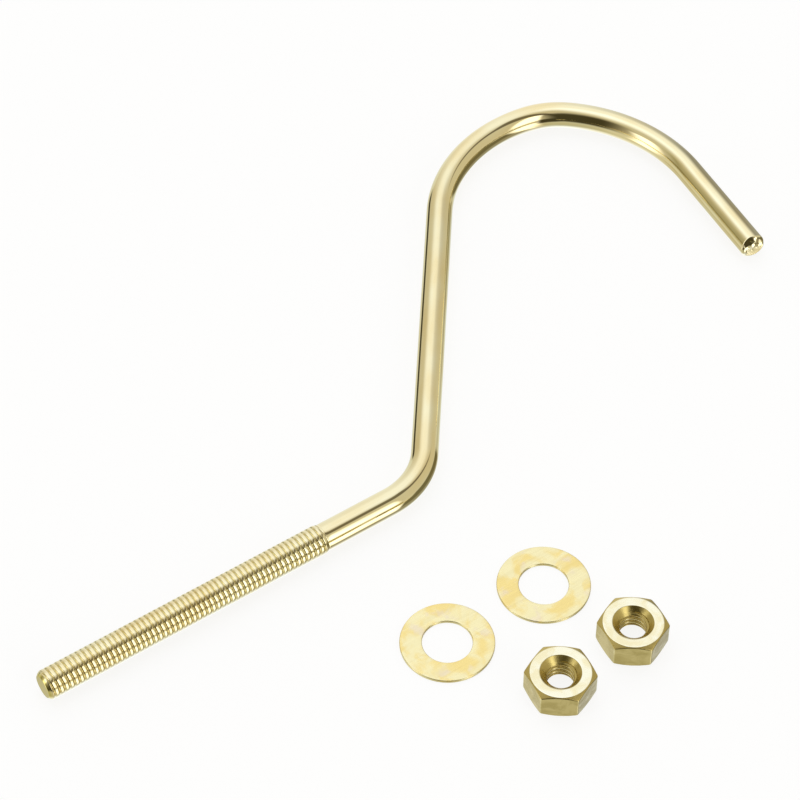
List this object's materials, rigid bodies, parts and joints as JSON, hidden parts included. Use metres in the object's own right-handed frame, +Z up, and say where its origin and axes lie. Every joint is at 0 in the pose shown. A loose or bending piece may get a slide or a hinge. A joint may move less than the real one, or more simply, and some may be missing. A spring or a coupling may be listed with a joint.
{
  "type": "bridge stick hook",
  "caption": "Bent plated steel rod hook with a long arm, a wide crook and a threaded shank, with its hex nuts and flat washers laid beside it.",
  "frame": {"origin": "on the shank's axis, halfway along the thread", "axes": "+X along the shank from its free end towards the bend, +Z up out of the plane in which the rod is bent"},
  "size_m": [0.2436, 0.1774, 0.008],
  "materials": {
    "rod_plating": "polished pale gold plating on steel rod",
    "nut_plating": "pale gold plating on cold-formed steel nuts",
    "washer_plating": "yellow passivated zinc plating on stamped steel, mottled"
  },
  "bodies": {
    "root": {"hook": "rod_plating", "hex_nut_1": "nut_plating", "hex_nut_2": "nut_plating", "flat_washer_1": "washer_plating", "flat_washer_2": "washer_plating"}
  },
  "joints": []
}
